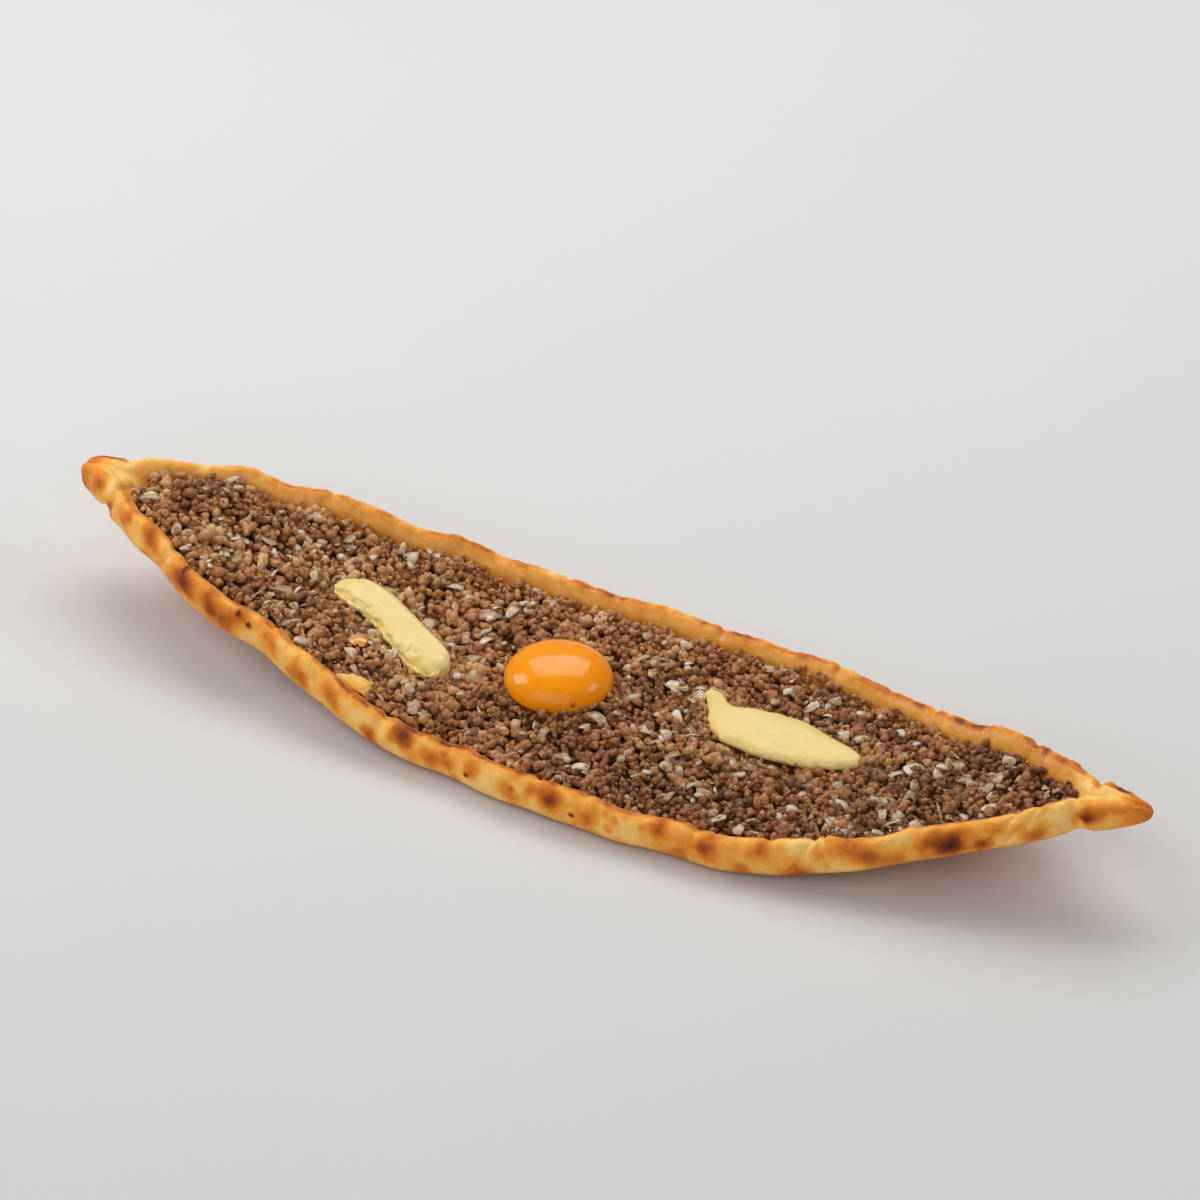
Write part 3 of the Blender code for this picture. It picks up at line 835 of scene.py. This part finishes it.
class Wiring:
    """Short ways to add and join nodes in one tree."""

    def __init__(self, tree):
        self.tree = tree

    def put(self, value, socket):
        if isinstance(value, bpy.types.NodeSocket):
            self.tree.links.new(value, socket)
        elif hasattr(socket.default_value, "__len__") and not hasattr(value, "__len__"):
            socket.default_value = [value] * len(socket.default_value)
        elif hasattr(value, "__len__") and len(value) < len(socket.default_value):
            socket.default_value = (*value, 1.0)
        else:
            socket.default_value = value

    def node(self, kind, settings=(), **inputs):
        node = self.tree.nodes.new("ShaderNode" + kind)
        for name, value in dict(settings).items():
            setattr(node, name, value)
        for name, value in inputs.items():
            self.put(value, node.inputs[name.replace("_", " ")])
        return node

    def place(self):
        return self.node("TexCoord").outputs["Object"]

    def own(self, name):
        return self.node("Attribute", {"attribute_name": name}).outputs["Fac"]

    def grain(self, size, detail=3.0, rough=0.55, where=None):
        """Noise from 0 to 1 with features of about this size in metres."""
        where = where or self.place()
        return self.node("TexNoise", Vector=where, Scale=1.0 / size, Detail=detail, Roughness=rough).outputs["Fac"]

    def sum(self, kind, a, b, clamp=False):
        node = self.node("Math", {"operation": kind, "use_clamp": clamp})
        self.put(a, node.inputs[0])
        self.put(b, node.inputs[1])
        return node.outputs[0]

    def remap(self, value, low, high, to_low=0.0, to_high=1.0):
        node = self.node("MapRange", Value=value)
        for i, number in enumerate((low, high, to_low, to_high)):
            self.put(number, node.inputs[i + 1])
        return node.outputs[0]

    def blend(self, share, a, b):
        node = self.node("Mix", {"data_type": "RGBA"})
        self.put(share, node.inputs[0])
        self.put(a, node.inputs[6])
        self.put(b, node.inputs[7])
        return node.outputs[2]

    def ramp(self, value, stops):
        node = self.node("ValToRGB", Fac=value)
        band = node.color_ramp
        while len(band.elements) < len(stops):
            band.elements.new(0.5)
        for element, (place, colour) in zip(band.elements, stops):
            element.position = place
            element.color = (*colour, 1.0)
        return node.outputs["Color"]


def make_groups():
    """Effects that several materials share."""
    def mottle(w, given, result):
        broad = w.node("TexNoise", Vector=w.place(), Scale=given["Scale"], Detail=2.0).outputs["Fac"]
        fine_scale = w.sum("MULTIPLY", given["Scale"], 4.3)
        fine = w.node("TexNoise", Vector=w.place(), Scale=fine_scale, Detail=3.0).outputs["Fac"]
        mixed = w.sum("ADD", w.sum("MULTIPLY", broad, 0.65), w.sum("MULTIPLY", fine, 0.35))
        w.put(w.remap(mixed, 0.32, 0.68), result["Mask"])

    def skin(w, given, result):
        grain = w.node("TexNoise", Vector=w.place(), Scale=given["Scale"], Detail=3.0, Roughness=0.6)
        height = grain.outputs["Fac"]
        bump = w.node("Bump", Height=height, Strength=given["Strength"], Distance=given["Depth"])
        w.put(bump.outputs["Normal"], result["Normal"])

    number = "NodeSocketFloat"
    return {
        "mottle": group_of("mottle", [("Scale", number, 60.0)], [("Mask", number)], mottle),
        "skin": group_of("fine_skin", [
            ("Scale", number, 600.0), ("Strength", number, 0.4), ("Depth", number, 0.3 * MM),
        ], [("Normal", "NodeSocketVector")], skin),
    }


GROUPS = make_groups()


def use(w, name, **given):
    """Place a shared group with its own values."""
    node = w.tree.nodes.new("ShaderNodeGroup")
    node.node_tree = GROUPS[name]
    for label, value in given.items():
        w.put(value, node.inputs[label])
    return node.outputs[0]


def material(name, **plain):
    """A new material, its wiring and its shader, with plain values set."""
    new = bpy.data.materials.new(name)
    new.use_nodes = True
    w = Wiring(new.node_tree)
    shader = new.node_tree.nodes["Principled BSDF"]
    for label, value in plain.items():
        w.put(value, shader.inputs[label.replace("_", " ")])
    return new, w, shader.inputs


def baked_dough():
    new, w, shader = material("baked_dough", Subsurface_Weight=0.06, Subsurface_Scale=0.002, Coat_Roughness=0.35,
                              Specular_IOR_Level=0.22)
    broad = use(w, "mottle", Scale=38.0)
    small = w.grain(2.6 * MM, 4.0, 0.6)
    toast = w.own("toast")
    toast = w.sum("ADD", toast, w.sum("MULTIPLY", w.sum("SUBTRACT", small, 0.5), 0.26))
    toast = w.sum("ADD", toast, w.sum("MULTIPLY", w.sum("SUBTRACT", broad, 0.5), 0.12), clamp=True)
    colour = w.ramp(toast, (
        (0.00, (0.93, 0.60, 0.19)), (0.12, (0.93, 0.46, 0.080)), (0.27, (0.84, 0.30, 0.028)),
        (0.46, (0.62, 0.160, 0.012)), (0.72, (0.27, 0.052, 0.005)), (1.00, (0.060, 0.011, 0.003))))
    flour = w.remap(w.grain(7 * MM, 4.0), 0.50, 0.72, 0.0, 0.55)
    flour = w.sum("MULTIPLY", flour, w.remap(toast, 0.08, 0.30, 1.0, 0.0))
    colour = w.blend(flour, colour, (0.93, 0.65, 0.24))
    oily = w.own("oily")
    oil_tone = w.ramp(w.sum("ADD", w.sum("MULTIPLY", toast, 0.9), w.remap(w.grain(5 * MM), 0.3, 0.7, 0.0, 0.26)), (
        (0.00, (0.86, 0.43, 0.070)), (0.35, (0.72, 0.27, 0.030)),
        (0.70, (0.40, 0.110, 0.010)), (1.0, (0.13, 0.03, 0.005))))
    colour = w.blend(oily, colour, oil_tone)
    w.put(colour, shader["Base Color"])
    dry = w.remap(w.grain(6 * MM), 0.3, 0.7, 0.50, 0.68)
    gloss = w.node("Mix", {"data_type": "FLOAT"})
    w.put(oily, gloss.inputs[0])
    w.put(dry, gloss.inputs[2])
    w.put(w.remap(w.grain(4 * MM), 0.3, 0.7, 0.28, 0.45), gloss.inputs[3])
    w.put(gloss.outputs[0], shader["Roughness"])
    w.put(w.sum("MULTIPLY", oily, 0.25), shader["Coat Weight"])
    w.put(use(w, "skin", Scale=520.0, Strength=0.8, Depth=0.45 * MM), shader["Normal"])
    return new


def minced_meat():
    new, w, shader = material("minced_meat", Subsurface_Weight=0.05, Subsurface_Scale=0.0015, Coat_Roughness=0.22,
                              Specular_IOR_Level=0.35)
    speckle = w.sum("MULTIPLY", w.sum("SUBTRACT", w.grain(1.1 * MM, 3.0, 0.65), 0.5), 1.15)
    tone = w.sum("ADD", w.own("tone"), speckle)
    # Points near a crumb's middle, in the hollows between its lumps, are darker: painted shade.
    tone = w.sum("ADD", tone, w.sum("MULTIPLY", w.sum("SUBTRACT", w.own("edge"), 0.6), 0.25), clamp=True)
    colour = w.ramp(tone, (
        (0.00, (0.130, 0.039, 0.011)), (0.30, (0.305, 0.112, 0.034)), (0.55, (0.475, 0.206, 0.067)),
        (0.80, (0.615, 0.310, 0.118)), (1.00, (0.750, 0.482, 0.230))))
    red = w.remap(w.grain(3.5 * MM), 0.56, 0.70, 0.0, 0.45)
    colour = w.blend(red, colour, (0.360, 0.120, 0.050))
    w.put(colour, shader["Base Color"])
    w.put(w.remap(w.grain(1.6 * MM), 0.3, 0.7, 0.28, 0.60), shader["Roughness"])
    w.put(w.remap(w.grain(5 * MM), 0.45, 0.65, 0.0, 0.60), shader["Coat Weight"])
    w.put(use(w, "skin", Scale=950.0, Strength=0.85, Depth=0.6 * MM), shader["Normal"])
    return new


def packed_mince_shade():
    new, w, shader = material("packed_mince_shade", Coat_Roughness=0.3, Specular_IOR_Level=0.12)
    # The lean colour is very dark: painted shade in the gaps between the loose crumbs, over the packed meat's own
    # mottle.
    lean = w.blend(use(w, "mottle", Scale=190.0), (0.045, 0.015, 0.005), (0.130, 0.050, 0.018))
    colour = w.blend(w.own("grease"), lean, w.blend(w.grain(3 * MM), (0.42, 0.25, 0.10), (0.62, 0.45, 0.24)))
    w.put(colour, shader["Base Color"])
    w.put(w.remap(w.grain(4 * MM), 0.3, 0.7, 0.50, 0.75), shader["Roughness"])
    w.put(w.sum("MULTIPLY", w.own("grease"), 0.35), shader["Coat Weight"])
    w.put(use(w, "skin", Scale=700.0, Strength=0.5, Depth=0.4 * MM), shader["Normal"])
    return new


def cooked_onion():
    new, w, shader = material("cooked_onion", Subsurface_Weight=0.18, Subsurface_Scale=0.002, Coat_Roughness=0.2,
                              Specular_IOR_Level=0.4)
    speckle = w.sum("MULTIPLY", w.sum("SUBTRACT", w.grain(1.8 * MM), 0.5), 1.1)
    pale = w.sum("ADD", w.sum("MULTIPLY", w.own("tone"), 0.62), w.sum("MULTIPLY", w.own("edge"), 0.38))
    colour = w.ramp(w.sum("ADD", pale, speckle, clamp=True), (
        (0.00, (0.34, 0.19, 0.08)), (0.30, (0.48, 0.33, 0.18)),
        (0.65, (0.63, 0.50, 0.34)), (1.00, (0.84, 0.77, 0.64))))
    w.put(colour, shader["Base Color"])
    w.put(w.remap(w.grain(3 * MM), 0.3, 0.7, 0.22, 0.42), shader["Roughness"])
    w.put(w.remap(w.grain(5 * MM), 0.35, 0.65, 0.1, 0.5), shader["Coat Weight"])
    w.put(use(w, "skin", Scale=900.0, Strength=0.3, Depth=0.15 * MM), shader["Normal"])
    return new


def raw_yolk():
    new, w, shader = material("raw_yolk", Subsurface_Weight=0.12, Subsurface_Scale=0.003, Coat_Roughness=0.10,
                              Specular_IOR_Level=0.08)
    shader["Subsurface Radius"].default_value = (1.0, 0.35, 0.04)
    patch = use(w, "mottle", Scale=75.0)
    w.put(w.blend(patch, (0.97, 0.275, 0.001), (1.00, 0.345, 0.001)), shader["Base Color"])
    w.put(w.remap(w.grain(9 * MM), 0.3, 0.7, 0.20, 0.30), shader["Roughness"])
    w.put(w.remap(w.grain(14 * MM), 0.3, 0.7, 0.35, 0.60), shader["Coat Weight"])
    w.put(use(w, "skin", Scale=160.0, Strength=0.08, Depth=0.4 * MM), shader["Normal"])
    return new


def soft_butter():
    new, w, shader = material("soft_butter", Subsurface_Weight=0.14, Subsurface_Scale=0.002, Coat_Roughness=0.3)
    # Paler on the ridges, deeper yellow in the grooves: painted light and shade over the butter's own mottle.
    tone = w.sum("ADD", w.sum("MULTIPLY", w.own("ridge"), 0.6), w.sum("MULTIPLY", use(w, "mottle", Scale=110.0), 0.4))
    colour = w.ramp(tone, ((0.0, (0.80, 0.53, 0.06)), (0.45, (0.82, 0.60, 0.20)), (1.0, (0.86, 0.67, 0.29))))
    w.put(colour, shader["Base Color"])
    w.put(w.remap(w.grain(6 * MM), 0.3, 0.7, 0.38, 0.55), shader["Roughness"])
    w.put(w.remap(w.grain(8 * MM), 0.4, 0.65, 0.0, 0.20), shader["Coat Weight"])
    w.put(use(w, "skin", Scale=500.0, Strength=0.14, Depth=0.2 * MM), shader["Normal"])
    return new


def melted_fat():
    new, w, shader = material("melted_fat", Subsurface_Weight=0.15, Subsurface_Scale=0.002, Coat_Roughness=0.08)
    w.put(w.blend(use(w, "mottle", Scale=200.0), (0.70, 0.27, 0.020), (0.85, 0.42, 0.060)), shader["Base Color"])
    w.put(w.remap(w.grain(3 * MM), 0.3, 0.7, 0.15, 0.30), shader["Roughness"])
    w.put(w.remap(w.grain(4 * MM), 0.3, 0.7, 0.4, 0.8), shader["Coat Weight"])
    w.put(use(w, "skin", Scale=500.0, Strength=0.2, Depth=0.2 * MM), shader["Normal"])
    return new


def studio_floor():
    new, w, shader = material("studio_floor", Roughness=0.75)
    w.put(w.blend(w.grain(0.4), (0.64, 0.63, 0.615), (0.68, 0.67, 0.655)), shader["Base Color"])
    return new


# ---- stage ----

def make_stage():
    bpy.ops.mesh.primitive_plane_add(size=12.0, location=(0, 0, -0.0005))
    floor = bpy.context.object
    floor.name = "floor"
    floor.data.materials.append(studio_floor())


def soft_lamp(name, place, size, power, aim=(0, 0, 0)):
    data = bpy.data.lights.new(name, "AREA")
    data.shape = "RECTANGLE"
    data.size, data.size_y = size
    data.energy = power
    lamp = bpy.data.objects.new(name, data)
    lamp.location = place
    lamp.rotation_euler = (Vector(aim) - Vector(place)).to_track_quat("-Z", "Y").to_euler()
    bpy.context.scene.collection.objects.link(lamp)


def make_lights():
    world = bpy.data.worlds.new("studio")
    bpy.context.scene.world = world
    world.use_nodes = True
    background = world.node_tree.nodes["Background"]
    background.inputs["Color"].default_value = (1, 1, 1, 1)
    background.inputs["Strength"].default_value = WORLD_LIGHT
    soft_lamp("overhead", (-0.42, 0.75, 1.15), (1.25, 0.90), 12.0)
    soft_lamp("front_fill", (0.3, -1.9, 1.5), (3.2, 2.0), 25.5)
    soft_lamp("left_window", (-1.25, -0.17, 0.81), (0.55, 0.80), 7.0)
    soft_lamp("right_window", (1.07, 0.54, 0.91), (0.60, 0.45), 3.5)


def make_camera():
    turn, rise = math.radians(CAMERA_TURN), math.radians(CAMERA_HEIGHT)
    back = Vector((math.sin(turn) * math.cos(rise), -math.cos(turn) * math.cos(rise), math.sin(rise)))
    aside = Vector((math.cos(turn), math.sin(turn), 0))
    up = back.cross(aside)
    data = bpy.data.cameras.new("camera")
    data.lens = CAMERA_LENS
    data.sensor_width = 36.0
    camera = bpy.data.objects.new("camera", data)
    camera.location = back * CAMERA_DISTANCE
    aim = aside * AIM_ASIDE + up * AIM_UP
    look = aim - camera.location
    camera.rotation_euler = look.to_track_quat("-Z", "Y").to_euler()
    bpy.context.scene.collection.objects.link(camera)
    bpy.context.scene.camera = camera


def build():
    bpy.context.scene.view_settings.view_transform = "Standard"
    make_camera()
    make_lights()
    make_stage()
    dough, meat, cooked, butter = baked_dough(), minced_meat(), cooked_onion(), soft_butter()
    filling = tree_of("mince_filling")
    keep(make_crust(), dough, "baked_dough", "crust")
    keep(make_flap(filling), dough, "baked_dough")
    keep(make_core(), packed_mince_shade(), "minced_meat", "mince_filling")
    crumbs, onion = make_filling()
    for piece in crumbs:
        keep(piece, meat, "minced_meat", "mince_filling")
    for piece in onion:
        keep(piece, cooked, "cooked_onion", "mince_filling")
    keep(make_oil(filling), melted_fat(), "butter")
    keep(make_yolk(), raw_yolk(), "egg_yolk", "egg_yolk")
    keep(make_butter("butter_left", "butter_smear_left", 3, LEFT_CURLS, LEFT_DENTS, 1.0),
         butter, "butter", "butter_left")
    keep(make_butter("butter_right", "butter_smear_right", 13, RIGHT_CURLS, RIGHT_DENTS, 0.25),
         butter, "butter", "butter_right")


build()
